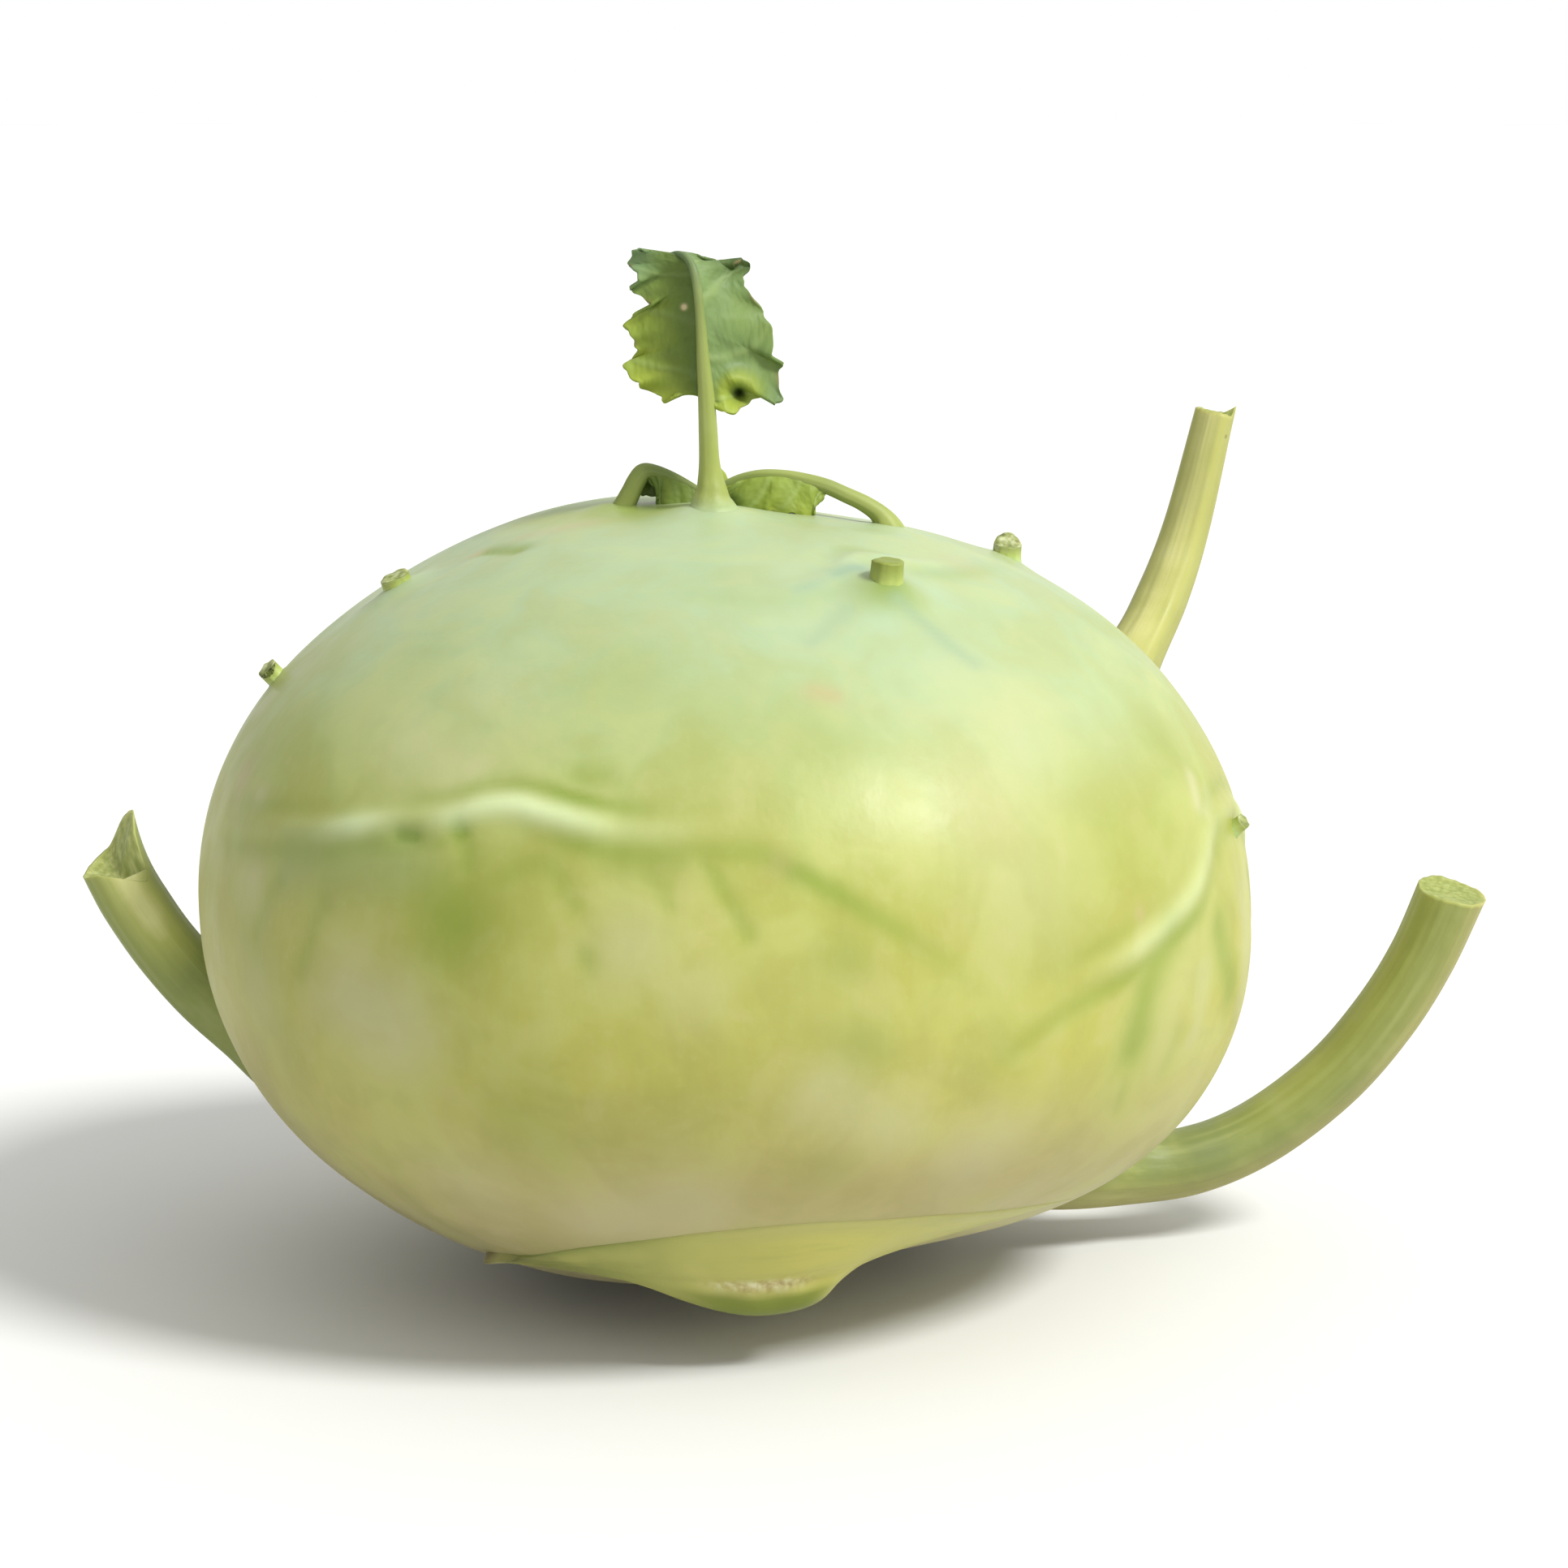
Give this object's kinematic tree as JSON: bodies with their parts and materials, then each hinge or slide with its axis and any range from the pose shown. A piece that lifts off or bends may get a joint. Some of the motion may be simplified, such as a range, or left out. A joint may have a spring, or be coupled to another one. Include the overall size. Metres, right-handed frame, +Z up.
{
  "type": "kohlrabi",
  "caption": "Swollen pale green stem on its trimmed root, with leaf scars, snapped leaf stalks and young toothed leaves at the crown.",
  "frame": {"origin": "centre of the flat root cut, on which the kohlrabi rests", "axes": "+Z up along the stem to the crown, +X towards the long curved leaf stalk, -Y the front with the torn leaf base"},
  "size_m": [0.1295, 0.0972, 0.0937],
  "materials": {
    "skin": "smooth waxy skin with a thin pale bloom",
    "stalk": "fibrous satin green rind, moist pith at the breaks",
    "leaf_base": "yellow green satin rind with a torn pale edge",
    "leaf": "matt leaf with pale ribs",
    "bud": "matt pale green scales"
  },
  "bodies": {
    "root": {"bulb": "skin", "stalk_right": "stalk", "stalk_left": "stalk", "stalk_back": "stalk", "leaf_base_front": "leaf_base", "leaf_center": "leaf", "leaf_left": "leaf", "leaf_right": "leaf", "crown_bud": "bud"}
  },
  "joints": []
}
